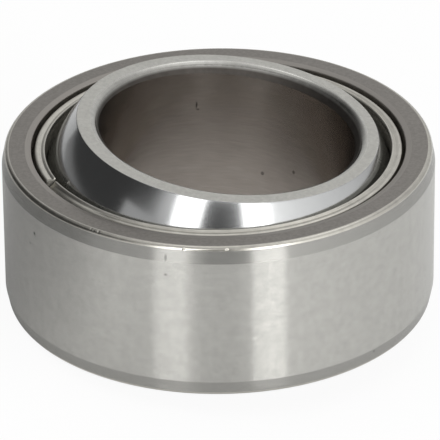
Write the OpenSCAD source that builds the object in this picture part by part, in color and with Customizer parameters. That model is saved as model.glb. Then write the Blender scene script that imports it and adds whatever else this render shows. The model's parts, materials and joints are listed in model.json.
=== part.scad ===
/* [Inner ring] */
// Bore diameter for the shaft or pin
bore_d = 25; // [20:0.5:26]
// Width of the inner ring, face to face
inner_w = 20; // [18:0.5:22]
// Diameter of the ball, the convex sliding surface
ball_d = 35.5; // [35:0.1:36]
// Size of the 45 degree chamfer at each end of the bore
bore_chamfer = 0.6; // [0.3:0.1:1]
// Size of the break on the edge between each end face and the ball
face_break = 0.1; // [0.05:0.05:0.3]

/* [Sliding liner] */
// Running clearance between the ball and the liner, on the radius
ball_clearance = 0.05; // [0.02:0.01:0.1]
// Thickness of the strip that the liner is rolled from
liner_t = 1.4; // [1:0.1:1.6]
// Width of the rolled liner, over its inner lips
liner_w = 15.5; // [14.5:0.1:15.6]
// Diameter of the relief that keeps each inner lip clear of the ball
relief_d = 33.6; // [33.2:0.1:34]
// Slope of the liner's end faces, down towards the outer ring
liner_slope = 9.5; // [5:0.5:25]
// Width of the butt joint where the ends of the strip meet
joint_gap = 0.12; // [0.05:0.01:0.3]
// Angle of the butt joint around the ring, from +X
joint_at = 213; // [0:1:359]

/* [Outer ring] */
// Outer diameter, the seat in the housing
outer_d = 42; // [41.5:0.1:44]
// Width of the outer ring, face to face
outer_w = 16; // [16:0.5:17]
// Length of the ground cylindrical seat between the two tapers
land_w = 12.8; // [11:0.2:13]
// Angle of the lead-in taper at each end of the seat
taper_angle = 11.5; // [10:0.5:20]
// Radius of the turned edge between each taper and end face
edge_r = 0.45; // [0.2:0.05:0.6]
// Diameter of the mouth at each end, which leaves a groove around the liner
mouth_d = 36.3; // [36:0.1:36.6]
// Width of the bevel on the inner edge of each end face
bevel_w = 0.75; // [0.3:0.05:0.9]
// Depth of that bevel at the mouth
bevel_drop = 0.2; // [0.1:0.05:0.3]

/* [Pose] */
// Angle by which the outer ring leans over on the ball, out of line with the bore
lean = 5.5; // [0:0.1:5.7]

/* [Hidden] */
$fn = 180;
// Spare size that takes a cut clear of the surface it leaves through
spare = 1;
// Depth by which each taper runs into its turned edge, so that the two surfaces cross cleanly
seam = 0.01;
race_r = ball_d / 2 + ball_clearance;
seat_r = race_r + liner_t;
face_r = sqrt(pow(ball_d / 2, 2) - pow(inner_w / 2, 2));
// Slope of the ball where it meets an end face
ball_slope = atan(face_r / (inner_w / 2));
edge_z = outer_w / 2 - edge_r;
edge_x = outer_d / 2 - (edge_r + (edge_z - land_w / 2) * sin(taper_angle)) / cos(taper_angle);
liner_fall = (seat_r - relief_d / 2) * tan(liner_slope);

// Places its children at both ends of the ring, the second a mirror image of the first
module both_ends() {
    children();
    mirror([0, 0, 1]) children();
}

// A ring that cuts a chamfer of this size and slope where radius r meets the plane z,
// on the outside (way = 1) or around a hole (way = -1)
module edge_cut(r, z, size, slope, way) {
    reach = size + spare;
    rotate_extrude()
        polygon([
            [r - way * size, z],
            [r - way * size, z + spare],
            [r + way * spare, z + spare],
            [r + way * spare, z - reach * tan(slope)]
        ]);
}

// Hardened steel ring whose outside is the ball, standing upright on one end face
module inner_ring() {
    color("silver")
        difference() {
            sphere(d = ball_d);
            both_ends() translate([0, 0, inner_w / 2]) cylinder(r = ball_d, h = ball_d);
            cylinder(d = bore_d, h = inner_w + spare, center = true);
            both_ends() edge_cut(bore_d / 2, inner_w / 2, bore_chamfer, 45, -1);
            both_ends() edge_cut(face_r, inner_w / 2, face_break, ball_slope / 2, 1);
        }
}

// Half section of the liner before the ball and the relief are cut out of it
module liner_blank() {
    rotate_extrude()
        polygon([
            [relief_d / 2, -liner_w / 2],
            [seat_r, liner_fall - liner_w / 2],
            [seat_r, liner_w / 2 - liner_fall],
            [relief_d / 2, liner_w / 2]
        ]);
}

// Strip of backed sliding material, rolled to a ring and held in the outer ring
module sliding_liner() {
    color("darkgray")
        rotate([0, -lean, 0])
            difference() {
                intersection() {
                    liner_blank();
                    sphere(r = seat_r);
                }
                sphere(r = race_r);
                rotate([0, 0, joint_at])
                    translate([0, -joint_gap / 2, -outer_w / 2])
                        cube([outer_d / 2, joint_gap, outer_w]);
            }
}

// Half section of the outer ring as turned, before the concave seat is formed in it
module outer_section() {
    taper_x = edge_x + (edge_r - seam) * cos(taper_angle);
    taper_z = edge_z + (edge_r - seam) * sin(taper_angle);
    polygon([
        [mouth_d / 2, -outer_w / 2 + bevel_drop],
        [mouth_d / 2 + bevel_w, -outer_w / 2],
        [edge_x, -outer_w / 2],
        [taper_x, -taper_z],
        [outer_d / 2, -land_w / 2],
        [outer_d / 2, land_w / 2],
        [taper_x, taper_z],
        [edge_x, outer_w / 2],
        [mouth_d / 2 + bevel_w, outer_w / 2],
        [mouth_d / 2, outer_w / 2 - bevel_drop]
    ]);
    translate([edge_x, edge_z]) circle(r = edge_r);
    translate([edge_x, -edge_z]) circle(r = edge_r);
}

// Steel ring formed around the liner, ground on the outside and turned on its end faces
module outer_ring() {
    color("gray")
        rotate([0, -lean, 0])
            difference() {
                rotate_extrude() outer_section();
                sphere(r = seat_r);
            }
}

inner_ring();
sliding_liner();
outer_ring();
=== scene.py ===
import json
import math

import bpy
import numpy as np
from bpy.props import FloatProperty, FloatVectorProperty, IntProperty, PointerProperty
from mathutils import Matrix, Quaternion, Vector


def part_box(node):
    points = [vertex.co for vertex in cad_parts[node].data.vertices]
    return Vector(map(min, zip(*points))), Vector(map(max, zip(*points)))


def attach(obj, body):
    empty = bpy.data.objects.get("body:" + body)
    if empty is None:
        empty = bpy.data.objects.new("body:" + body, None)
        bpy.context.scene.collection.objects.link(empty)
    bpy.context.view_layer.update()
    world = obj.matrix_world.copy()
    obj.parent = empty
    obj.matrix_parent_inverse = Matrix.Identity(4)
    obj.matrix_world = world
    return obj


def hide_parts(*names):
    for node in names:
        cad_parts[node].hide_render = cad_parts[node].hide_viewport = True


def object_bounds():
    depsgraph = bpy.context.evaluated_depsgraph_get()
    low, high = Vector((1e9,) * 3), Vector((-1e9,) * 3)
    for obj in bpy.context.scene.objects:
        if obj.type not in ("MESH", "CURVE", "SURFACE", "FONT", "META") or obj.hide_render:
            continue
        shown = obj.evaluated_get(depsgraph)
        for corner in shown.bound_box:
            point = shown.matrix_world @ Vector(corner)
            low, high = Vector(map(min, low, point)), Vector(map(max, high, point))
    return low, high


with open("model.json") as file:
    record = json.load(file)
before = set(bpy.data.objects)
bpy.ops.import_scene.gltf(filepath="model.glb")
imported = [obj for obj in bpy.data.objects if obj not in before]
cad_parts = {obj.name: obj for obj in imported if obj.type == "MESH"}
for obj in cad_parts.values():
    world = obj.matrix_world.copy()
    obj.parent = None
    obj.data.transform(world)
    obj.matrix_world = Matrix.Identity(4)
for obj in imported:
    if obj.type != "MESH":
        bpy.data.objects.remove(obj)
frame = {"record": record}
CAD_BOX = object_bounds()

bl_info = {
    "name": "Spherical plain bearing",
    "version": (1, 0, 0),
    "blender": (4, 5, 0),
    "location": "3D View > Sidebar > Bearing",
    "description": "Makes the three rings of a spherical plain bearing and a small studio around them",
    "category": "Add Mesh",
}

# One millimetre in metres
MM = 0.001

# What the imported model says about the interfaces
MOUNTS = {mount["name"]: mount for mount in frame["record"]["mounts"]}
RING_AXIS = Vector(MOUNTS["housing_seat"]["axis"])
LEAN = math.atan2(-RING_AXIS.x, RING_AXIS.z)
BALL_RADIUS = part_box("inner_ring")[1].x
BALL_HALF_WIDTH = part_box("inner_ring")[1].z
BORE_RADIUS = MOUNTS["bore"]["dims"]["r_mm"] * MM
SEAT_RADIUS = MOUNTS["housing_seat"]["dims"]["r_mm"] * MM
SEAT_LENGTH = MOUNTS["housing_seat"]["dims"]["length_mm"] * MM
FLOOR_HEIGHT = CAD_BOX[0].z

# The bright wall on the camera's right, which the three lowest rows of the room share
BRIGHT_WALL = [(30, 1.40), (43, 1.40), (60, 1.15), (80, 0.95), (100, 0.80)]

# The room as the metal mirrors it: elevations in degrees, each with azimuths from the camera's and the
# brightness there, 1 being white. The levels were adjusted until the bands on the metal came close to
# those in the photo
ROOM = [
    (-1, [(-180, 0.52), (-165, 0.50), (-152, 0.34), (-138, 0.12), (-128, 0.08), (-60, 0.07), (-48, 0.25),
          (-40, 0.40), (-12, 0.34), (0, 0.30), (12, 0.34), *BRIGHT_WALL, (130, 0.58), (180, 0.52)]),
    (18, [(-180, 0.68), (-165, 0.62), (-152, 0.34), (-138, 0.12), (-128, 0.08), (-66, 0.06), (-52, 0.20),
          (-44, 0.40), (-40, 0.62), (-14, 0.30), (-9, 0.12), (0, 0.08), (9, 0.14), (14, 0.30),
          *BRIGHT_WALL, (130, 0.58), (160, 0.66), (180, 0.68)]),
    (34, [(-180, 0.74), (-165, 0.60), (-150, 0.25), (-135, 0.09), (-57, 0.06), (-51, 0.10), (-45, 0.36),
          (-40, 0.75), (-14, 0.35), (-9, 0.17), (0, 0.13), (9, 0.22), (14, 0.35), *BRIGHT_WALL,
          (120, 0.56), (160, 0.70), (180, 0.74)]),
    (44, [(-180, 0.85), (-165, 0.55), (-150, 0.22), (-128, 0.15), (-97, 0.25), (-66, 0.25), (-50, 0.50),
          (0, 0.50), (20, 0.60), (40, 1.00), (66, 0.95), (97, 0.70), (120, 0.45), (150, 0.52), (165, 0.70),
          (180, 0.85)]),
    (54, [(-180, 1.05), (-165, 0.85), (-150, 0.50), (-128, 0.25), (-97, 0.30), (-75, 0.42), (-50, 0.40),
          (20, 0.42), (45, 0.50), (66, 0.75), (110, 0.72), (130, 0.75), (150, 0.95), (180, 1.05)]),
    (64, [(-180, 0.75), (-168, 0.80), (-160, 1.50), (-152, 2.30), (-142, 1.30), (-128, 0.60), (-72, 0.85),
          (-36, 0.65), (0, 0.65), (20, 0.80), (58, 1.25), (90, 0.95), (130, 0.95), (145, 1.50), (154, 2.40),
          (163, 1.50), (172, 0.85), (180, 0.75)]),
    (74, [(-180, 0.70), (-150, 1.10), (-110, 0.70), (-60, 0.75), (-30, 0.60), (0, 0.60), (30, 0.80),
          (60, 1.10), (100, 0.95), (150, 1.30), (172, 0.75), (180, 0.70)]),
    (90, [(0, 0.60)]),
]

# In the same form, a flag close to the left of the bearing, darker upwards, and a card low on the left
BLACK_FLAG = [(-10, [(0, 0.33)]), (-2, [(0, 0.27)]), (1, [(0, 0.21)]), (3.5, [(0, 0.07)]),
              (6, [(0, 0.054)]), (40, [(0, 0.052)])]
LOW_CARD = [(-1, [(0, 0.50)]), (18, [(0, 0.50)])]

# The panels that only reflections see: name, azimuths from the camera's, distance in metres, and levels
PANELS = [
    ("room_wall", (-180, 180), 1.6, ROOM),
    ("black_flag", (-132, -66), 0.14, BLACK_FLAG),
    ("low_card", (-66, -40), 1.5, LOW_CARD),
]

# The softboxes: azimuth from the camera's and elevation in degrees, distance, width and height in metres
OVERHEAD_SOFTBOX = (0, 89, 0.9, 0.95, 0.95)
UPRIGHT_SOFTBOXES = {
    "left_softbox": (-21.9, 24, 1.1, 0.345, 1.0),
    "right_softbox": (26.8, 24, 1.1, 0.325, 1.0),
}

# The bore's rounded chamfer turns down from the end face to each of these angles, in degrees, with a
# radius in mm
BORE_BENDS = [(20, 0.60), (45, 0.80), (52, 2.40)]

# The end face of the strip as radius and height in mm, from its steel back over two beads to the lip
STRIP_END = [(17.80, 7.58), (17.77, 7.665), (17.70, 7.722), (17.60, 7.748), (17.48, 7.748), (17.36, 7.725),
             (17.26, 7.695), (17.18, 7.685), (17.10, 7.72), (17.02, 7.78), (16.94, 7.815), (16.87, 7.815),
             (16.82, 7.785), (16.80, 7.72)]

# Distance from a round at which an extra loop keeps the flat beside it flat in shading. An edge gets the
# loop where it is longer than LONG_EDGE and more than MUCH_LONGER times as long as its neighbour
HOLD = 0.04 * MM
LONG_EDGE = 5 * HOLD
MUCH_LONGER = 3

# Steps along the arcs of the outlines
BALL_STEPS = 48
BACK_STEPS = 24
RACE_STEPS = 20
SEAT_STEPS = 16
EDGE_STEPS = 12

# Edges at which the surface turns by more than this are shaded as sharp
SHARP_TURN = math.radians(28)

# What the properties for a size, for a small size and for a colour have in common
SIZE = {"min": 0.001, "precision": 5, "unit": "LENGTH"}
SMALL_SIZE = {"min": 0.0, "precision": 5, "unit": "LENGTH"}
COLOUR = {"size": 3, "min": 0, "max": 1, "subtype": "COLOR"}


def linear(hex_code):
    """Linear colour of an sRGB hex code such as "C0BFB9"."""
    parts = [int(hex_code[i:i + 2], 16) / 255 for i in (0, 2, 4)]
    return tuple(c / 12.92 if c <= 0.04045 else ((c + 0.055) / 1.055) ** 2.4 for c in parts)


def placed(name, data):
    """A new object in the scene for a mesh, a lamp or a camera."""
    made = bpy.data.objects.new(name, data)
    bpy.context.scene.collection.objects.link(made)
    return made


class InnerRingSizes(bpy.types.PropertyGroup):
    """Sizes of the inner ring, whose outside is the ball."""

    ball_radius: FloatProperty(
        name="Ball radius", description="Radius of the chromed ball",
        default=BALL_RADIUS, **SIZE)
    half_width: FloatProperty(
        name="Half width", description="Height of an end face over the middle of the ring",
        default=BALL_HALF_WIDTH, **SIZE)
    bore_radius: FloatProperty(
        name="Bore radius", description="Radius of the bore for the shaft",
        default=BORE_RADIUS, **SIZE)
    chamfer_growth: FloatProperty(
        name="Chamfer growth", description="Least and most that the chamfer is wider than its bends",
        default=0.08 * MM, **SMALL_SIZE)
    chamfer_offset: FloatProperty(
        name="Chamfer offset", description="How far the chamfer lies off the middle of the bore",
        default=0.19 * MM, **SMALL_SIZE)
    chamfer_wide_side: FloatProperty(
        name="Chamfer wide side", description="Azimuth at which the chamfer is widest",
        default=math.radians(60), subtype="ANGLE")
    face_edge: FloatProperty(
        name="Face edge", description="Radius of the edge between the ball and an end face",
        default=0.12 * MM, **SMALL_SIZE)


class LinerSizes(bpy.types.PropertyGroup):
    """Sizes of the rolled strip between the ball and the outer ring."""

    back_radius: FloatProperty(
        name="Back radius", description="Radius of the steel back, just inside its seat",
        default=19.195 * MM, **SIZE)
    race_radius: FloatProperty(
        name="Race radius", description="Radius of the sliding face",
        default=17.80 * MM, **SIZE)
    lip_radius: FloatProperty(
        name="Lip radius", description="Inner radius of the strip at its two ends",
        default=16.80 * MM, **SIZE)
    free_height: FloatProperty(
        name="Free height", description="Height from which the strip stands free of its seat",
        default=6.60 * MM, **SIZE)
    joint_azimuth: FloatProperty(
        name="Joint azimuth", description="Where the two ends of the strip meet",
        default=math.radians(213), subtype="ANGLE")
    joint_gap: FloatProperty(
        name="Joint gap", description="Gap between the two ends of the strip",
        default=0.12 * MM, **SMALL_SIZE)
    joint_step: FloatProperty(
        name="Joint step", description="How far the second end lies below the first one",
        default=0.24 * MM, **SMALL_SIZE)


class OuterRingSizes(bpy.types.PropertyGroup):
    """Sizes of the outer ring."""

    radius: FloatProperty(
        name="Radius", description="Radius of the ground outside",
        default=SEAT_RADIUS, **SIZE)
    land: FloatProperty(
        name="Land", description="Width of the ground outside between its two tapers",
        default=SEAT_LENGTH, **SIZE)
    width: FloatProperty(
        name="Width", description="Width over the two end faces",
        default=16.0 * MM, **SIZE)
    taper: FloatProperty(
        name="Taper", description="Slope of the lead-in tapers",
        default=math.radians(11.5), subtype="ANGLE")
    edge_radius: FloatProperty(
        name="Edge radius", description="Radius of the turned edge between a taper and its end face",
        default=0.45 * MM, **SMALL_SIZE)
    mouth_radius: FloatProperty(
        name="Mouth radius", description="Radius of the opening that the strip stands in",
        default=18.15 * MM, **SIZE)
    bevel_width: FloatProperty(
        name="Bevel width", description="Width of the bevel along the opening",
        default=0.60 * MM, **SMALL_SIZE)
    bevel_drop: FloatProperty(
        name="Bevel drop", description="How far the bevel falls towards the opening",
        default=0.10 * MM, **SMALL_SIZE)
    race_radius: FloatProperty(
        name="Seat radius", description="Radius of the hollow that holds the strip",
        default=19.20 * MM, **SIZE)
    lean: FloatProperty(
        name="Lean", description="How far the ring lies over on the ball at rest",
        default=LEAN, subtype="ANGLE")


class BearingFinishes(bpy.types.PropertyGroup):
    """Colours of the finishes, and how finely the rings are divided."""

    chrome: FloatVectorProperty(
        name="Hard chrome", description="Colour of the chromed ball",
        default=linear("C3C4C4"), **COLOUR)
    ground: FloatVectorProperty(
        name="Ground steel", description="Colour of the ground outside and the ground faces",
        default=linear("C0BFBA"), **COLOUR)
    turned: FloatVectorProperty(
        name="Turned steel", description="Colour of the turned end faces of the outer ring",
        default=linear("928E89"), **COLOUR)
    oiled: FloatVectorProperty(
        name="Oiled steel", description="Colour of the bore under its film of dried oil",
        default=linear("AAA39C"), **COLOUR)
    strip: FloatVectorProperty(
        name="Strip steel", description="Colour of the bare edges of the rolled strip",
        default=linear("D4D1C8"), **COLOUR)
    layer: FloatVectorProperty(
        name="Sliding layer", description="Colour of the sliding layer",
        default=linear("66635A"), **COLOUR)
    columns: IntProperty(
        name="Columns", description="Number of steps round each ring",
        default=480, min=48, max=720)


class StudioSettings(bpy.types.PropertyGroup):
    """The camera's place and the level of the lamps. Azimuths are counted as the camera's is."""

    azimuth: FloatProperty(
        name="Camera azimuth", description="Direction of the camera round the bearing",
        default=math.radians(7.639), subtype="ANGLE")
    elevation: FloatProperty(
        name="Camera elevation", description="Height angle of the camera",
        default=math.radians(29.766), subtype="ANGLE")
    distance: FloatProperty(
        name="Camera distance", description="Distance from the camera to the point it looks at",
        default=487.14 * MM, min=0.01, precision=5, unit="LENGTH")
    roll: FloatProperty(
        name="Camera roll", description="Turn of the camera about its own line of sight",
        default=math.radians(5.695), subtype="ANGLE")
    aim: FloatVectorProperty(
        name="Aim", description="Point that the camera looks at",
        default=(0.158 * MM, -0.163 * MM, -0.319 * MM), size=3, precision=6, subtype="TRANSLATION")
    lens: FloatProperty(
        name="Lens", description="Focal length of the camera in millimetres",
        default=408.32, min=1.0, subtype="DISTANCE_CAMERA")
    overhead: FloatProperty(
        name="Overhead softbox", description="How bright the softbox over the bearing is, 1 being white",
        default=1.7, min=0.0)
    strips: FloatProperty(
        name="Upright softboxes", description="How bright the two upright softboxes are, 1 being white",
        default=2.8, min=0.0)
    ambient: FloatProperty(
        name="Ambient light", description="How bright the room is for matt surfaces, 1 being white",
        default=0.6, min=0.0)


# Outlines


def arc(centre, radius, first, last, steps):
    """Points of an arc in the plane of radius and height, with its angles counted from the radius axis."""
    return [(centre[0] + radius * math.cos(a), centre[1] + radius * math.sin(a))
            for a in np.linspace(first, last, steps + 1)]


def ball_arc(radius, height, steps):
    """Points down the inside of a ball round the origin, from a height to its middle."""
    return arc((0, 0), radius, math.asin(height / radius), 0, steps)


def rolled_edge(radius, height, bends, steps=6):
    """Points from an end face at a height, over some bends, down into a bore of a radius."""
    turns = np.radians([0] + [turn for turn, _ in bends])
    radii = [bend * MM for _, bend in bends]
    reach = sum(r * (math.sin(b) - math.sin(a)) for r, a, b in zip(radii, turns, turns[1:]))
    points = [(radius + reach, height)]
    for r, a, b in zip(radii, turns, turns[1:]):
        x, z = points[-1]
        centre = (x + r * math.sin(a), z - r * math.cos(a))
        points += arc(centre, r, math.pi / 2 + a, math.pi / 2 + b, steps)[1:]
    return points


def mirrored(upper):
    """A closed outline and the zone of each of its edges, from the runs of its upper half.

    A run is a zone and its points. The runs go from the middle of the outside, over the top, to the middle
    of the inside."""
    points, zones = [], []
    for zone, run in upper:
        points += run[:-1]
        zones += [zone] * (len(run) - 1)
    points.append(upper[-1][1][-1])
    lower = [(r, -z) for r, z in reversed(points)]
    return points + lower[1:-1], zones + zones[::-1]


def soften(outline, rounds, steps=6):
    """Puts a round on each corner between two zones for which rounds holds a radius."""
    points, zones = outline
    soft_points, soft_zones = [], []
    for i, here in enumerate(points):
        before, after = points[i - 1], points[(i + 1) % len(points)]
        radius = rounds.get(frozenset((zones[i - 1], zones[i])), 0) if zones[i - 1] != zones[i] else 0
        if not radius:
            soft_points.append(here)
            soft_zones.append(zones[i])
            continue
        come = (Vector(here) - Vector(before)).normalized()
        go = (Vector(after) - Vector(here)).normalized()
        turn = math.atan2(come.x * go.y - come.y * go.x, come.dot(go))
        side = math.copysign(radius, turn)
        start = Vector(here) - come * radius * math.tan(abs(turn) / 2)
        centre = start + Vector((-come.y, come.x)) * side
        arm = start - centre
        for k in range(steps + 1):
            spoke = Matrix.Rotation(turn * k / steps, 2) @ arm
            soft_points.append(tuple(centre + spoke))
            soft_zones.append(zones[i - 1] if k < steps / 2 else zones[i])
    return soft_points, soft_zones


def held(outline):
    """Adds a point beside each end of a long edge whose neighbour is short, which keeps its shading flat."""
    points, zones = outline
    count = len(points)
    length = [(Vector(points[(i + 1) % count]) - Vector(points[i])).length for i in range(count)]
    held_points, held_zones = [], []
    for i, here in enumerate(points):
        there = points[(i + 1) % count]
        step = (Vector(there) - Vector(here)).normalized() * HOLD
        long, short = length[i] > LONG_EDGE, length[i] / MUCH_LONGER
        held_points.append(here)
        held_zones.append(zones[i])
        if long and length[i - 1] < short:
            held_points.append(tuple(Vector(here) + step))
            held_zones.append(zones[i])
        if long and length[(i + 1) % count] < short:
            held_points.append(tuple(Vector(there) - step))
            held_zones.append(zones[i])
    return held_points, held_zones


# Turned pieces


def outward(points):
    """The direction out of the metal at each point of an outline."""
    p = np.array(points)
    along = np.roll(p, -1, 0) - np.roll(p, 1, 0)
    normal = np.stack([along[:, 1], -along[:, 0]], 1)
    return normal / np.linalg.norm(normal, axis=1)[:, None]


def turned_piece(name, outline, finishes, angles, whole=True, shape=None):
    """Turns an outline round Z through the given angles. Each zone gets its own finish.

    A ring that isn't whole gets a face at each end. shape(angle, points) may return changed points of the
    outline for one angle."""
    points, zones = outline
    base = np.array(points)
    count, columns = len(base), len(angles)
    rings = np.array([shape(a, base) if shape else base for a in angles])
    x = rings[:, :, 0] * np.cos(angles)[:, None]
    y = rings[:, :, 0] * np.sin(angles)[:, None]
    vertices = np.stack([x, y, rings[:, :, 1]], 2).reshape(-1, 3)

    steps = columns if whole else columns - 1
    i, k = (g.ravel() for g in np.meshgrid(np.arange(steps), np.arange(count), indexing="ij"))
    j, m = (i + 1) % columns, (k + 1) % count
    quads = np.stack([i * count + k, j * count + k, j * count + m, i * count + m], 1)
    faces = quads.tolist()
    zone_names = list(finishes)
    slots = [zone_names.index(zones[z]) for z in k]

    # The piece's own map: once round in u, once round the outline in v
    edge = np.linalg.norm(np.roll(base, -1, 0) - base, axis=1)
    travel = np.concatenate([[0], np.cumsum(edge)]) / edge.sum()
    turn = (np.append(angles, angles[0] + math.tau) - angles[0]) / math.tau
    u = np.stack([turn[i], turn[i + 1], turn[i + 1], turn[i]], 1)
    v = np.stack([travel[k], travel[k], travel[k + 1], travel[k + 1]], 1)
    uvs = np.stack([u, v], 2).reshape(-1, 2)

    if not whole:
        first = list(range(count))
        last = [(columns - 1) * count + p for p in reversed(range(count))]
        faces += [first, last]
        slots += [zone_names.index("cut")] * 2
        # The two end faces lie flat in the map, which is a tenth of a metre wide for them
        maps_per_metre = 10
        flat = base * maps_per_metre
        uvs = np.concatenate([uvs, flat, flat[::-1]])

    mesh = bpy.data.meshes.new(name)
    mesh.from_pydata(vertices.tolist(), [], faces)
    mesh.polygons.foreach_set("material_index", slots)
    mesh.polygons.foreach_set("use_smooth", [True] * len(faces))
    mesh.uv_layers.new(name="Turning").data.foreach_set("uv", uvs.ravel().tolist())
    for finish in finishes.values():
        mesh.materials.append(finish)
    mesh.validate()
    mesh.set_sharp_from_angle(angle=SHARP_TURN)
    return placed(name, mesh)


def even_angles(columns):
    """Angles of an evenly divided whole turn."""
    return np.arange(columns) * math.tau / columns


def with_detail(angles, places, reach, step):
    """Adds finer steps round some places, so that small marks there have a shape."""
    fine = {round((p + d) / step) * step for p in places for d in np.arange(-reach, reach + step / 2, step)}
    kept = [a for a in angles if all(abs(a - f) > step / 2 for f in fine)]
    return np.array(sorted(kept + list(fine)))


# Finishes


def add_node(tree, kind, inputs=None, **settings):
    """Adds a node with its settings. inputs holds a value or another node's output for each socket."""
    node = tree.nodes.new(kind)
    for name, value in settings.items():
        setattr(node, name, value)
    for socket, value in (inputs or {}).items():
        if isinstance(value, bpy.types.NodeSocket):
            tree.links.new(value, node.inputs[socket])
        else:
            node.inputs[socket].default_value = value
    return node


def empty_tree(block):
    """The node tree of a material or a world, with nothing in it."""
    block.use_nodes = True
    block.node_tree.nodes.clear()
    return block.node_tree


def piece_coordinates(tree):
    """Coordinates in metres in the piece's own upright frame."""
    return add_node(tree, "ShaderNodeTexCoord").outputs["Object"]


def new_finish(name):
    """A new material with its tree, its shader and the coordinates for its patterns."""
    material = bpy.data.materials.new(name)
    tree = empty_tree(material)
    shader = add_node(tree, "ShaderNodeBsdfPrincipled")
    add_node(tree, "ShaderNodeOutputMaterial", {"Surface": shader.outputs["BSDF"]})
    return material, tree, shader, piece_coordinates(tree)


def lines_along_height(tree, place, spacing, length):
    """Fine lines that run round the ring and follow each other along its height."""
    scaled = add_node(tree, "ShaderNodeMapping", {
        "Vector": place, "Scale": (1 / length, 1 / length, 1 / spacing)})
    return add_node(tree, "ShaderNodeTexNoise", {
        "Vector": scaled.outputs["Vector"], "Scale": 1.0, "Detail": 3.0, "Roughness": 0.65}).outputs["Fac"]


def lines_along_radius(tree, place, spacing, turns):
    """Fine lines that run round the ring and follow each other along its radius."""
    flat = add_node(tree, "ShaderNodeVectorMath", {0: place, 1: (1, 1, 0)}, operation="MULTIPLY")
    radius = add_node(tree, "ShaderNodeVectorMath", {0: flat.outputs["Vector"]}, operation="LENGTH")
    way = add_node(tree, "ShaderNodeVectorMath", {0: flat.outputs["Vector"]}, operation="NORMALIZE")
    slow = add_node(tree, "ShaderNodeVectorMath", {
        0: way.outputs["Vector"], "Scale": turns}, operation="SCALE")
    fast = add_node(tree, "ShaderNodeMath", {
        0: radius.outputs["Value"], 1: 1 / spacing}, operation="MULTIPLY")
    lift = add_node(tree, "ShaderNodeCombineXYZ", {"Z": fast.outputs["Value"]})
    both = add_node(tree, "ShaderNodeVectorMath", {
        0: slow.outputs["Vector"], 1: lift.outputs["Vector"]}, operation="ADD")
    return add_node(tree, "ShaderNodeTexNoise", {
        "Vector": both.outputs["Vector"], "Scale": 1.0, "Detail": 3.0, "Roughness": 0.65}).outputs["Fac"]


def grain(tree, place, size, detail=2.0):
    """Even grain of a real size."""
    return add_node(tree, "ShaderNodeTexNoise", {
        "Vector": place, "Scale": 1 / size, "Detail": detail, "Roughness": 0.6}).outputs["Fac"]


def between(tree, pattern, low, high):
    """Turns the middle of a noise pattern into a range of values."""
    return add_node(tree, "ShaderNodeMapRange", {
        "Value": pattern, "From Min": 0.3, "From Max": 0.7, "To Min": low, "To Max": high}).outputs["Result"]


def tinted(tree, pattern, colour, darker, lighter):
    """A colour that a pattern makes a little darker and lighter."""
    ends = [tuple(min(1.0, c * k) for c in colour) + (1.0,) for k in (darker, lighter)]
    share = between(tree, pattern, 0.0, 1.0)
    return add_node(tree, "ShaderNodeMix", {
        "Factor": share, "A": ends[0], "B": ends[1]}, data_type="RGBA").outputs[2]


def marked(tree, place, colour, marks, radius):
    """A colour with small marks on a round surface of a radius.

    Each mark is an azimuth in degrees, a height, a width and a length in mm, and the share of the colour
    that is left in it."""
    for azimuth, height, width, length, share in marks:
        turn = math.radians(azimuth)
        centre = (radius * math.cos(turn), radius * math.sin(turn), height * MM)
        away = add_node(tree, "ShaderNodeVectorMath", {0: place, 1: centre}, operation="SUBTRACT")
        scale = (2 / (width * MM), 2 / (width * MM), 2 / (length * MM))
        scaled = add_node(tree, "ShaderNodeVectorMath", {
            0: away.outputs["Vector"], 1: scale}, operation="MULTIPLY")
        reach = add_node(tree, "ShaderNodeVectorMath", {0: scaled.outputs["Vector"]}, operation="LENGTH")
        level = add_node(tree, "ShaderNodeMapRange", {
            "Value": reach.outputs["Value"], "From Min": 0.6, "From Max": 1.0,
            "To Min": share, "To Max": 1.0})
        colour = add_node(tree, "ShaderNodeVectorMath", {
            0: colour, "Scale": level.outputs["Result"]}, operation="SCALE").outputs["Vector"]
    return colour


def relief(tree, pattern, depth):
    """The shading normal of a pattern of a real depth."""
    return add_node(tree, "ShaderNodeBump", {
        "Height": pattern, "Strength": 1.0, "Distance": depth}).outputs["Normal"]


def fine_lines(tree, place, tilt):
    """The shading normal of grinding lines round the ring that lean up and down.

    Real ones are some hundredths of a millimetre apart. These are finer, because coarser ones are too near
    the size of a pixel and would show as flecks."""
    lines = lines_along_height(tree, place, 0.001 * MM, 2.0 * MM)
    axis = add_node(tree, "ShaderNodeVectorTransform", {"Vector": (0, 0, 1)},
                    vector_type="VECTOR", convert_from="OBJECT", convert_to="WORLD")
    leaning = add_node(tree, "ShaderNodeVectorMath", {
        0: axis.outputs["Vector"], "Scale": between(tree, lines, -tilt, tilt)}, operation="SCALE")
    surface = add_node(tree, "ShaderNodeNewGeometry").outputs["Normal"]
    both = add_node(tree, "ShaderNodeVectorMath", {
        0: surface, 1: leaning.outputs["Vector"]}, operation="ADD")
    return add_node(
        tree, "ShaderNodeVectorMath", {0: both.outputs["Vector"]}, operation="NORMALIZE").outputs["Vector"]


def turning_direction(tree):
    """The direction round the ring, along which tool and grinding marks run."""
    return add_node(tree, "ShaderNodeTangent", direction_type="UV_MAP", uv_map="Turning").outputs["Tangent"]


def finish_shader(tree, shader, **links):
    """Sets or links the shader's sockets, named with underscores for spaces."""
    for name, value in links.items():
        socket = shader.inputs[name.replace("_", " ")]
        if isinstance(value, bpy.types.NodeSocket):
            tree.links.new(value, socket)
        else:
            socket.default_value = value


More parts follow.
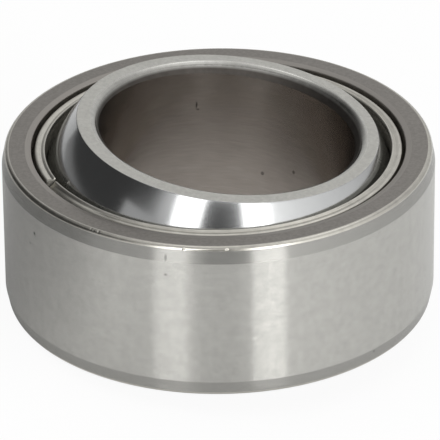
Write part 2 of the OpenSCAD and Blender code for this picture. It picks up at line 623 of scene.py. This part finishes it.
def polished_hard_chrome(colours):
    """Hard chrome on a ground and polished ball: a mirror that is only a little soft."""
    material, tree, shader, place = new_finish("polished_hard_chrome")
    # The polish varies over about 1.5 mm. Its marks are finer than 0.15 mm and drawn at that to show
    haze = grain(tree, place, 1.5 * MM)
    marks = grain(tree, place, 0.15 * MM)
    finish_shader(
        tree, shader, Metallic=1.0,
        Base_Color=tinted(tree, haze, colours.chrome, 0.98, 1.02),
        Roughness=between(tree, marks, 0.12, 0.17),
        Normal=relief(tree, haze, 0.0012 * MM))
    return material


def ground_steel_outside(colours):
    """Bearing steel, ground on its outside: lines round the ring draw each lamp out into an upright band."""
    material, tree, shader, place = new_finish("ground_steel_outside")
    # The lines stand in clusters, drawn at 0.11 mm to show. The colour varies over about 0.9 mm
    clusters = lines_along_height(tree, place, 0.11 * MM, 1.6 * MM)
    steel = tinted(tree, grain(tree, place, 0.9 * MM), colours.ground, 0.93, 1.03)
    # Three small rust spots, and one bright scratch
    marks = [(223.9, 4.64, 0.4, 0.42, 0.3), (221.5, 3.2, 0.26, 0.3, 0.45), (266.8, 5.04, 0.35, 0.35, 0.65),
             (289.6, -1.76, 0.6, 0.3, 1.25)]
    finish_shader(
        tree, shader, Metallic=1.0,
        Base_Color=marked(tree, place, steel, marks, SEAT_RADIUS),
        Roughness=between(tree, clusters, 0.20, 0.24),
        Anisotropic=1.0, Anisotropic_Rotation=0.25, Tangent=turning_direction(tree),
        Normal=fine_lines(tree, place, 0.55))
    return material


def ground_steel_taper(colours):
    """Bearing steel, lightly ground on the taper: the same lines, duller and a little darker."""
    material, tree, shader, place = new_finish("ground_steel_taper")
    # The clusters of lines are drawn at 0.14 mm to show
    clusters = lines_along_height(tree, place, 0.14 * MM, 2.5 * MM)
    steel = tinted(tree, clusters, colours.ground, 0.69, 0.77)
    # A small rust spot on each taper
    marks = [(325.3, -6.71, 0.35, 0.25, 0.4), (266.8, 6.95, 0.4, 1.1, 0.6)]
    finish_shader(
        tree, shader, Metallic=1.0,
        Base_Color=marked(tree, place, steel, marks, SEAT_RADIUS),
        Roughness=between(tree, clusters, 0.22, 0.27),
        Anisotropic=1.0, Anisotropic_Rotation=0.25, Tangent=turning_direction(tree),
        Normal=fine_lines(tree, place, 0.62))
    return material


def turned_steel_edge(colours):
    """Bearing steel, turned to a round edge: bright, with a little handling wear."""
    material, tree, shader, place = new_finish("turned_steel_edge")
    # The wear varies over about 0.8 mm
    wear = grain(tree, place, 0.8 * MM)
    finish_shader(
        tree, shader, Metallic=1.0,
        Base_Color=tinted(tree, wear, colours.strip, 0.82, 0.92),
        Roughness=between(tree, wear, 0.18, 0.25),
        Normal=relief(tree, wear, 0.0006 * MM))
    return material


def turned_steel_face(colours):
    """Bearing steel, turned hard on its end face: fine feed marks round the ring, matt and brownish grey."""
    material, tree, shader, place = new_finish("turned_steel_face")
    # The feed marks are about 0.08 mm apart and drawn at 0.13 mm to show. Speckles are about 0.3 mm wide
    lines = lines_along_radius(tree, place, 0.13 * MM, 5.0)
    speckle = grain(tree, place, 0.3 * MM, 3.0)
    finish_shader(
        tree, shader, Metallic=1.0,
        Base_Color=tinted(tree, speckle, colours.turned, 0.88, 1.10),
        Roughness=between(tree, lines, 0.36, 0.44),
        Normal=relief(tree, lines, 0.0012 * MM))
    return material


def turned_steel_bevel(colours):
    """Bearing steel, turned with a finer feed on the bevel and in the mouth: brighter than the end face."""
    material, tree, shader, place = new_finish("turned_steel_bevel")
    # The feed marks are finer than on the face and drawn at 0.10 mm to show
    lines = lines_along_radius(tree, place, 0.10 * MM, 5.0)
    finish_shader(
        tree, shader, Metallic=1.0,
        Base_Color=tinted(tree, lines, colours.turned, 1.18, 1.36),
        Roughness=between(tree, lines, 0.38, 0.46),
        Normal=relief(tree, lines, 0.0012 * MM))
    return material


def ground_steel_face(colours):
    """Bearing steel, ground flat on its end face: pale satin with a fine even grain."""
    material, tree, shader, place = new_finish("ground_steel_face")
    # The grain of a fine wheel is under 0.05 mm and drawn at 0.12 mm to show. The mottle is about 0.35 mm
    pits = grain(tree, place, 0.12 * MM, 3.0)
    mottle = grain(tree, place, 0.35 * MM, 3.0)
    finish_shader(
        tree, shader, Metallic=1.0,
        Base_Color=tinted(tree, mottle, colours.ground, 1.04, 1.24),
        Roughness=between(tree, pits, 0.54, 0.62),
        Normal=relief(tree, pits, 0.004 * MM))
    return material


def ground_steel_bore(colours):
    """Bearing steel, ground in the bore and oiled: lines round the bore under a thin brown film, and painted
    shade towards its upper end.
    """
    material, tree, shader, place = new_finish("ground_steel_bore")
    # The lines stand in clusters, drawn at 0.12 mm to show. The film varies over about 2.5 mm
    lines = lines_along_height(tree, place, 0.12 * MM, 2.0 * MM)
    film = grain(tree, place, 2.5 * MM)
    # Painted shade: the bore's colour is darkest at its upper end and lightens to a little below the middle
    darkest_at, lightest_at = 9.5 * MM, -2.5 * MM
    height = add_node(tree, "ShaderNodeSeparateXYZ", {"Vector": place}).outputs["Z"]
    shade_by_height = add_node(tree, "ShaderNodeMapRange", {
        "Value": height, "From Min": darkest_at, "From Max": lightest_at, "To Min": 0.88, "To Max": 1.17})
    lined = tinted(tree, lines, colours.oiled, 0.90, 1.08)
    steel = add_node(tree, "ShaderNodeVectorMath", {
        0: lined, "Scale": shade_by_height.outputs["Result"]}, operation="SCALE")
    # Four small stains in the oil, and one bright scratch
    marks = [(113.0, 5.5, 0.22, 0.9, 0.35), (112.2, 5.0, 0.4, 0.22, 0.4), (79.5, -1.4, 0.42, 0.5, 0.45),
             (63.9, -0.1, 0.36, 0.5, 0.4), (170.8, 8.8, 0.3, 0.3, 2.2)]
    finish_shader(
        tree, shader, Metallic=1.0,
        Base_Color=marked(tree, place, steel.outputs["Vector"], marks, BORE_RADIUS),
        Roughness=between(tree, film, 0.21, 0.25),
        Anisotropic=0.85, Anisotropic_Rotation=0.25, Tangent=turning_direction(tree))
    return material


def polished_bore_edge(colours):
    """Bearing steel, turned and tumbled to a soft round at the end of the bore: smoother than the face.

    Painted shade darkens it towards the bore."""
    material, tree, shader, place = new_finish("polished_bore_edge")
    # The wear varies over about 0.7 mm
    wear = grain(tree, place, 0.7 * MM, 3.0)
    # Heights between which the painted shade sets in, and between which the edge turns duller
    shade_top, shade_full = BALL_HALF_WIDTH - 0.13 * MM, BALL_HALF_WIDTH - 0.54 * MM
    dull_top, dull_full = BALL_HALF_WIDTH - 0.24 * MM, BALL_HALF_WIDTH - 0.42 * MM
    height = add_node(tree, "ShaderNodeSeparateXYZ", {"Vector": place}).outputs["Z"]
    level = add_node(tree, "ShaderNodeMath", {0: height}, operation="ABSOLUTE").outputs["Value"]
    # Painted shade: share of the dark colour, growing from the face down towards the bore
    shade_share = add_node(tree, "ShaderNodeMapRange", {
        "Value": level, "From Min": shade_top, "From Max": shade_full,
        "To Min": 0.0, "To Max": 1.0}).outputs["Result"]
    unshaded = tinted(tree, wear, colours.ground, 0.98, 1.12)
    painted_dark = tinted(tree, wear, colours.oiled, 0.18, 0.24)
    colour = add_node(tree, "ShaderNodeMix", {
        "Factor": shade_share, "A": unshaded, "B": painted_dark}, data_type="RGBA").outputs[2]
    dull = add_node(tree, "ShaderNodeMapRange", {
        "Value": level, "From Min": dull_top, "From Max": dull_full,
        "To Min": 0.0, "To Max": 0.3}).outputs["Result"]
    roughness = add_node(tree, "ShaderNodeMath", {
        0: between(tree, wear, 0.17, 0.22), 1: dull}, operation="ADD").outputs["Value"]
    finish_shader(
        tree, shader, Metallic=1.0,
        Base_Color=colour, Roughness=roughness,
        Normal=relief(tree, wear, 0.001 * MM))
    return material


def rolled_strip_edge(colours):
    """Mild steel strip, rolled and trimmed: bright satin edges with fine lines along them."""
    material, tree, shader, place = new_finish("rolled_strip_edge")
    # The lines are finer than 0.09 mm and drawn at that to show. Patches are about 1.1 mm wide
    lines = lines_along_radius(tree, place, 0.09 * MM, 7.0)
    patches = grain(tree, place, 1.1 * MM)
    both = add_node(tree, "ShaderNodeMix", {"Factor": 0.4, "A": lines, "B": patches}).outputs["Result"]
    finish_shader(
        tree, shader, Metallic=1.0,
        Base_Color=tinted(tree, both, colours.strip, 0.74, 1.10),
        Roughness=between(tree, lines, 0.26, 0.36),
        Normal=relief(tree, lines, 0.0015 * MM))
    return material


def sheared_strip_end(colours):
    """Mild steel strip, sheared off at the joint: rougher and darker than the rolled edges."""
    material, tree, shader, place = new_finish("sheared_strip_end")
    # Tears of about 0.2 mm
    tears = grain(tree, place, 0.2 * MM)
    finish_shader(
        tree, shader, Metallic=1.0,
        Base_Color=tinted(tree, tears, colours.strip, 0.35, 0.5),
        Roughness=between(tree, tears, 0.45, 0.6),
        Normal=relief(tree, tears, 0.003 * MM))
    return material


def woven_sliding_layer(colours):
    """Woven low-friction layer, bonded to the strip: dark, matt and slightly greenish."""
    material, tree, shader, place = new_finish("woven_sliding_layer")
    # Threads of 0.3 mm
    threads = add_node(tree, "ShaderNodeTexVoronoi", {"Vector": place, "Scale": 1 / (0.3 * MM)})
    pattern = threads.outputs["Distance"]
    finish_shader(
        tree, shader, Metallic=0.0, IOR=1.4,
        Base_Color=tinted(tree, pattern, colours.layer, 1.1, 0.7),
        Roughness=between(tree, pattern, 0.5, 0.65),
        Normal=relief(tree, pattern, 0.01 * MM))
    return material


# Operators


class BEARING_OT_inner_ring(bpy.types.Operator):
    """Makes the inner ring: chromed ball, ground faces and bore"""

    bl_idname = "bearing.inner_ring"
    bl_label = "Inner ring"

    def execute(self, context):
        size, colours = context.scene.bearing_inner, context.scene.bearing_finishes
        face_radius = math.sqrt(size.ball_radius ** 2 - size.half_width ** 2)
        round_end = rolled_edge(size.bore_radius, size.half_width, BORE_BENDS)
        flank = math.radians(BORE_BENDS[-1][0])
        upper = [
            ("ball", ball_arc(size.ball_radius, size.half_width, BALL_STEPS)[::-1]),
            ("face", [(face_radius, size.half_width), round_end[0]]),
            ("round", round_end),
            ("bore", [round_end[-1], (size.bore_radius, 0)]),
        ]
        outline = held(soften(mirrored(upper), {frozenset(("ball", "face")): size.face_edge}))
        finishes = {
            "ball": polished_hard_chrome(colours),
            "face": ground_steel_face(colours),
            "round": polished_bore_edge(colours),
            "bore": ground_steel_bore(colours),
        }

        # The extra loops beside the chamfer lie within this reach of it and move with it
        loop_reach = 2 * HOLD
        bore_limit = size.bore_radius + 0.1 * HOLD

        def shape(angle, points):
            # The chamfer was cut a little off centre, so it is wider and deeper on one side
            towards_wide = 1 + math.cos(angle - size.chamfer_wide_side)
            wider = size.chamfer_growth + size.chamfer_offset * towards_wide
            radius, side = points[:, 0], np.sign(points[:, 1])
            ends = np.abs(points[:, 1]) > round_end[-1][1] - loop_reach
            on_chamfer = ends & (radius > bore_limit) & (radius < round_end[0][0] + loop_reach)
            on_bore = ends & (radius < bore_limit)
            out = points.copy()
            out[:, 0] += wider * on_chamfer
            out[:, 1] -= side * wider * math.tan(flank) * on_bore
            return out

        piece = turned_piece(
            "inner_ring_ground", outline, finishes, even_angles(colours.columns), shape=shape)
        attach(piece, "inner_ring")
        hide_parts("inner_ring")
        return {"FINISHED"}


class BEARING_OT_sliding_liner(bpy.types.Operator):
    """Makes the rolled strip with its sliding layer and butt joint"""

    bl_idname = "bearing.sliding_liner"
    bl_label = "Sliding liner"

    def execute(self, context):
        size, colours = context.scene.bearing_liner, context.scene.bearing_finishes
        lean = context.scene.bearing_outer.lean

        # Length of bare steel on the lip's inner side, over the sliding layer
        bare_side = 0.35 * MM
        end_face = [(r * MM, z * MM) for r, z in STRIP_END]
        race_height = math.sqrt(size.race_radius ** 2 - size.lip_radius ** 2)
        side_foot = (size.lip_radius, end_face[-1][1] - bare_side)
        upper = [
            ("back", ball_arc(size.back_radius, size.free_height, BACK_STEPS)[::-1] + [end_face[0]]),
            ("end", end_face),
            ("side", [end_face[-1], side_foot]),
            ("relief", [side_foot, (size.lip_radius, race_height)]),
            ("race", ball_arc(size.race_radius, race_height, RACE_STEPS)),
        ]
        outline = held(mirrored(upper))
        normals = outward(outline[0])
        half_gap = size.joint_gap / 2 / size.lip_radius
        first, last = size.joint_azimuth + half_gap, size.joint_azimuth + math.tau - half_gap
        # Angles from each cut end at which the ring is divided more finely
        fine = np.radians([0.0, 0.05, 0.1, 0.18, 0.28, 0.4, 0.6, 0.9])
        middle = np.linspace(first + fine[-1], last - fine[-1], colours.columns)
        angles = np.concatenate([first + fine[:-1], middle, (last - fine[:-1])[::-1]])
        end_round = 0.12 * MM
        # How far past the joint the tuck and the fold reach
        tuck_reach, fold_reach = math.radians(16), math.radians(34)
        # Both take hold over some height, and the fold over some radius of the steel back too
        hold_height, hold_rise = 5.0 * MM, 2.5 * MM
        back_radius, back_width, fold_drop = 17.08 * MM, 0.6 * MM, 0.55 * MM

        def shape(angle, points):
            # The cut ends are a little rounded, and the second one is tucked in below the first
            from_end = min(angle - first, last - angle) * size.lip_radius
            inset = 0.0
            if from_end < end_round:
                inset = end_round - math.sqrt(end_round ** 2 - (end_round - from_end) ** 2)
            out = points - normals * inset
            tuck = max(0.0, 1 - (angle - first) / tuck_reach) ** 2
            edge = np.clip((np.abs(points[:, 1]) - hold_height) / hold_rise, 0, 1)
            down = np.sign(points[:, 1]) * edge
            out[:, 1] -= down * size.joint_step * tuck
            # Past the joint the steel back also stands lower than the layer
            fold = max(0.0, 1 - (angle - first) / fold_reach)
            back = np.clip((points[:, 0] - back_radius) / back_width, 0, 1)
            out[:, 1] -= down * back * fold_drop * fold
            return out

        strip, layer = rolled_strip_edge(colours), woven_sliding_layer(colours)
        finishes = {"end": strip, "back": strip, "side": strip, "relief": layer, "race": layer,
                    "cut": sheared_strip_end(colours)}
        piece = turned_piece("sliding_liner_rolled", outline, finishes, angles, whole=False, shape=shape)
        # The cut also tore the rounded edge beside it, all but the innermost bead
        torn = (size.joint_gap / 2 + end_round) / size.lip_radius
        bead_radius = 16.97 * MM
        for face in piece.data.polygons:
            x, y, _ = face.center
            away = abs((math.atan2(y, x) - size.joint_azimuth + math.pi) % math.tau - math.pi)
            if away < torn and math.hypot(x, y) > bead_radius:
                face.material_index = list(finishes).index("cut")
        piece.matrix_world = Matrix.Rotation(-lean, 4, "Y")
        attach(piece, "outer_ring")
        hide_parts("sliding_liner")
        return {"FINISHED"}


class BEARING_OT_outer_ring(bpy.types.Operator):
    """Makes the outer ring: ground outside, tapers, turned edges and faces, and the hollow seat"""

    bl_idname = "bearing.outer_ring"
    bl_label = "Outer ring"

    def execute(self, context):
        size, colours = context.scene.bearing_outer, context.scene.bearing_finishes
        half, land = size.width / 2, size.land / 2
        edge_height = half - size.edge_radius
        rise = edge_height + size.edge_radius * math.sin(size.taper) - land
        taper_end = size.radius - rise * math.tan(size.taper)
        edge_centre = (taper_end - size.edge_radius * math.cos(size.taper), edge_height)
        edge = arc(edge_centre, size.edge_radius, size.taper, math.pi / 2, EDGE_STEPS)
        bevel_outer = size.mouth_radius + size.bevel_width
        mouth_top = half - size.bevel_drop
        mouth_bottom = math.sqrt(size.race_radius ** 2 - size.mouth_radius ** 2)
        upper = [
            ("outside", [(size.radius, 0), (size.radius, land)]),
            ("taper", [(size.radius, land), edge[0]]),
            ("edge", edge),
            ("face", [edge[-1], (bevel_outer, half)]),
            ("bevel", [(bevel_outer, half), (size.mouth_radius, mouth_top)]),
            ("mouth", [(size.mouth_radius, mouth_top), (size.mouth_radius, mouth_bottom)]),
            ("seat", ball_arc(size.race_radius, mouth_bottom, SEAT_STEPS)),
        ]
        rounds = {
            frozenset(("outside", "taper")): 0.35 * MM,
            frozenset(("face", "bevel")): 0.30 * MM,
            frozenset(("bevel", "mouth")): 0.10 * MM,
        }
        outline = held(soften(mirrored(upper), rounds))
        face, bevel = turned_steel_face(colours), turned_steel_bevel(colours)
        finishes = {
            "outside": ground_steel_outside(colours),
            "taper": ground_steel_taper(colours),
            "edge": turned_steel_edge(colours),
            "face": face,
            "bevel": bevel,
            "mouth": bevel,
            "seat": face,
        }
        # Nicks on the upper turned edge: azimuth and angle on the edge in degrees, width and depth in mm
        nicks = [(244.9, 60, 0.09, 0.020), (245.8, 45, 0.08, 0.020), (247.3, 55, 0.11, 0.030),
                 (271.5, 30, 0.10, 0.035), (282.7, 40, 0.11, 0.040)]
        places = [math.radians(nick[0]) for nick in nicks]
        fine_reach, fine_step = math.radians(0.7), math.radians(0.1)
        angles = with_detail(even_angles(colours.columns), places, fine_reach, fine_step)
        # Points within this reach of the edge's centre are on the edge
        edge_reach = 1.02 * size.edge_radius
        least_reach = 1e-9

        def shape(angle, points):
            out = points.copy()
            towards = np.array(edge_centre) - points
            reach = np.linalg.norm(towards, axis=1)
            spot = np.arctan2(-towards[:, 1], -towards[:, 0])
            on_edge = (points[:, 1] > land) * (reach < edge_reach)
            inward = towards / np.maximum(reach, least_reach)[:, None]
            for place, (_, height, width, depth) in zip(places, nicks):
                along = (angle - place) * size.radius
                across = (spot - math.radians(height)) * size.edge_radius
                away = (along ** 2 + across ** 2) / (width * MM) ** 2
                out += inward * (depth * MM * np.exp(-away) * on_edge)[:, None]
            return out

        piece = turned_piece("outer_ring_ground", outline, finishes, angles, shape=shape)
        piece.matrix_world = Matrix.Rotation(-size.lean, 4, "Y")
        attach(piece, "outer_ring")
        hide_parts("outer_ring")
        return {"FINISHED"}


def heading(azimuth, elevation):
    """Unit vector from the bearing in a direction; azimuth 0 is -Y and 90 degrees is +X."""
    return Vector((
        math.sin(azimuth) * math.cos(elevation),
        -math.cos(azimuth) * math.cos(elevation),
        math.sin(elevation)))


def shows_background(tree):
    """1 for the rays that show the background: straight, in a reflection, or through glass."""
    path = add_node(tree, "ShaderNodeLightPath")
    two = add_node(tree, "ShaderNodeMath", {
        0: path.outputs["Is Camera Ray"], 1: path.outputs["Is Glossy Ray"]}, operation="MAXIMUM")
    three = add_node(tree, "ShaderNodeMath", {
        0: two.outputs["Value"], 1: path.outputs["Is Transmission Ray"]}, operation="MAXIMUM")
    return three.outputs["Value"]


def white_room(context, ambient):
    """A room that looks white in the picture and in reflections, and lights matt surfaces evenly."""
    world = bpy.data.worlds.new("white_room")
    tree = empty_tree(world)
    light = add_node(tree, "ShaderNodeBackground", {"Color": (1, 1, 1, 1), "Strength": ambient})
    seen = add_node(tree, "ShaderNodeBackground", {"Color": (1, 1, 1, 1), "Strength": 1.0})
    mix = add_node(tree, "ShaderNodeMixShader", {
        0: shows_background(tree), 1: light.outputs["Background"], 2: seen.outputs["Background"]})
    add_node(tree, "ShaderNodeOutputWorld", {"Surface": mix.outputs["Shader"]})
    context.scene.world = world


def pale_floor(shaded):
    """A pale floor that the camera sees as white with a soft shadow. Its colour has painted shade, darker
    towards one azimuth.
    """
    reach = 2.5
    # The floor lies just under the bearing, so that the two faces don't meet
    height = FLOOR_HEIGHT - 0.01 * MM
    corners = [(x * reach, y * reach, height) for x, y in ((-1, -1), (1, -1), (1, 1), (-1, 1))]
    mesh = bpy.data.meshes.new("pale_floor")
    mesh.from_pydata(corners, [], [(0, 1, 2, 3)])
    floor = placed("pale_floor", mesh)
    material = bpy.data.materials.new("pale_card")
    tree = empty_tree(material)
    # The share of white that is added for a camera ray, and for a reflection or a ray through glass
    direct, reflected = 0.94, 0.06
    way = add_node(tree, "ShaderNodeVectorMath", {0: piece_coordinates(tree)}, operation="NORMALIZE")
    side = add_node(tree, "ShaderNodeVectorMath", {
        0: way.outputs["Vector"], 1: heading(shaded, 0)}, operation="DOT_PRODUCT")
    shade = add_node(tree, "ShaderNodeMapRange", {
        "Value": side.outputs["Value"], "From Min": 0.5, "From Max": 0.98, "To Min": 0.72, "To Max": 0.31})
    card = add_node(tree, "ShaderNodeBsdfDiffuse", {"Color": shade.outputs["Result"]})
    white = add_node(tree, "ShaderNodeEmission", {"Color": (1, 1, 1, 1), "Strength": 1.0})
    path = add_node(tree, "ShaderNodeLightPath")
    others = add_node(tree, "ShaderNodeMath", {
        0: path.outputs["Is Glossy Ray"], 1: path.outputs["Is Transmission Ray"]}, operation="MAXIMUM")
    few = add_node(tree, "ShaderNodeMath", {0: others.outputs["Value"], 1: reflected}, operation="MULTIPLY")
    most = add_node(tree, "ShaderNodeMath", {
        0: path.outputs["Is Camera Ray"], 1: direct, 2: few.outputs["Value"]}, operation="MULTIPLY_ADD")
    mix = add_node(tree, "ShaderNodeMixShader", {
        0: most.outputs["Value"], 1: card.outputs["BSDF"], 2: white.outputs["Emission"]})
    add_node(tree, "ShaderNodeOutputMaterial", {"Surface": mix.outputs["Shader"]})
    mesh.materials.append(material)


def softbox(name, turn, place, brightness):
    """A rectangular softbox that faces the bearing. Brightness 1 looks white in a mirror.

    Its place is one of the tuples at the top, with the camera's azimuth in turn."""
    azimuth, elevation, distance, width, height = place
    lamp = bpy.data.lights.new(name, "AREA")
    lamp.shape = "RECTANGLE"
    lamp.size, lamp.size_y = width, height
    lamp.energy = brightness * width * height * math.pi
    box = placed(name, lamp)
    towards = heading(math.radians(turn + azimuth), math.radians(elevation))
    box.matrix_world = (
        Matrix.Translation(towards * distance) @ towards.to_track_quat("Z", "Y").to_matrix().to_4x4())
    box.visible_camera = False
    return box


def room_panel(name, turn, azimuths, distance, rows):
    """A curved panel of the room, seen in reflections only.

    It runs from one azimuth to another, counted from the camera's, which is turn. rows holds, for each of
    some elevations, azimuths and the brightness there, 1 being white."""
    across, up = 120, 36
    turns = np.linspace(*azimuths, across + 1)
    heights = [elevation for elevation, _ in rows]
    rises = np.linspace(heights[0], heights[-1], up + 1)
    table = [np.interp(turns, *zip(*stops)) for _, stops in rows]
    glow = np.array([np.interp(rises, heights, column) for column in np.transpose(table)]).T
    points = [heading(math.radians(turn + a), math.radians(e)) * distance for e in rises for a in turns]
    width = across + 1
    faces = [(r * width + c, r * width + c + 1, (r + 1) * width + c + 1, (r + 1) * width + c)
             for r in range(up) for c in range(across)]
    mesh = bpy.data.meshes.new(name)
    mesh.from_pydata(points, [], faces)
    mesh.attributes.new("glow", "FLOAT", "POINT").data.foreach_set("value", glow.ravel().tolist())
    panel = placed(name, mesh)
    panel.visible_camera = panel.visible_diffuse = panel.visible_shadow = False
    material = bpy.data.materials.new(name)
    tree = empty_tree(material)
    level = add_node(tree, "ShaderNodeAttribute", attribute_name="glow")
    light = add_node(tree, "ShaderNodeEmission", {"Color": (1, 1, 1, 1), "Strength": level.outputs["Fac"]})
    add_node(tree, "ShaderNodeOutputMaterial", {"Surface": light.outputs["Emission"]})
    mesh.materials.append(material)


class BEARING_OT_studio(bpy.types.Operator):
    """Makes the floor, the room, the softboxes and the camera"""

    bl_idname = "bearing.studio"
    bl_label = "Studio"

    def execute(self, context):
        studio = context.scene.bearing_studio
        context.scene.view_settings.view_transform = "Standard"
        white_room(context, studio.ambient)
        # The floor's painted shade is darkest towards the flag, which stands this far round from the camera
        flag_side = math.radians(100)
        pale_floor(studio.azimuth - flag_side)

        turn = math.degrees(studio.azimuth)
        overhead = softbox("overhead_softbox", turn, OVERHEAD_SOFTBOX, studio.overhead)
        overhead.visible_glossy = False
        for name, place in UPRIGHT_SOFTBOXES.items():
            softbox(name, turn, place, studio.strips)
        for name, azimuths, distance, rows in PANELS:
            room_panel(name, turn, azimuths, distance, rows)

        camera = placed("camera", bpy.data.cameras.new("camera"))
        camera.data.sensor_width = 36.0
        camera.data.lens = studio.lens
        camera.data.clip_start, camera.data.clip_end = 0.02, 20.0
        back = heading(studio.azimuth, studio.elevation)
        camera.rotation_mode = "QUATERNION"
        camera.location = Vector(studio.aim) + back * studio.distance
        camera.rotation_quaternion = (-back).to_track_quat("-Z", "Y") @ Quaternion((0, 0, 1), studio.roll)
        context.scene.camera = camera
        return {"FINISHED"}


class BEARING_PT_sidebar(bpy.types.Panel):
    """Lists the pieces of the bearing and their sizes"""

    bl_label = "Spherical plain bearing"
    bl_idname = "BEARING_PT_sidebar"
    bl_space_type = "VIEW_3D"
    bl_region_type = "UI"
    bl_category = "Bearing"

    def draw(self, context):
        groups = {
            BEARING_OT_inner_ring.bl_idname: "bearing_inner",
            BEARING_OT_sliding_liner.bl_idname: "bearing_liner",
            BEARING_OT_outer_ring.bl_idname: "bearing_outer",
            BEARING_OT_studio.bl_idname: "bearing_studio",
        }
        for operator, group in groups.items():
            box = self.layout.box()
            box.operator(operator)
            settings = getattr(context.scene, group)
            for name in settings.__annotations__:
                box.prop(settings, name)
        box = self.layout.box()
        for name in BearingFinishes.__annotations__:
            box.prop(context.scene.bearing_finishes, name)


CLASSES = (
    InnerRingSizes, LinerSizes, OuterRingSizes, BearingFinishes, StudioSettings,
    BEARING_OT_inner_ring, BEARING_OT_sliding_liner, BEARING_OT_outer_ring, BEARING_OT_studio,
    BEARING_PT_sidebar,
)
SETTINGS = {
    "bearing_inner": InnerRingSizes,
    "bearing_liner": LinerSizes,
    "bearing_outer": OuterRingSizes,
    "bearing_finishes": BearingFinishes,
    "bearing_studio": StudioSettings,
}


def register():
    for cls in CLASSES:
        bpy.utils.register_class(cls)
    for name, group in SETTINGS.items():
        setattr(bpy.types.Scene, name, PointerProperty(type=group))


def unregister():
    for name in SETTINGS:
        delattr(bpy.types.Scene, name)
    for cls in reversed(CLASSES):
        bpy.utils.unregister_class(cls)


def main():
    """Makes the bearing and its studio."""
    register()
    bpy.ops.bearing.inner_ring()
    bpy.ops.bearing.sliding_liner()
    bpy.ops.bearing.outer_ring()
    bpy.ops.bearing.studio()


if __name__ == "__main__":
    main()
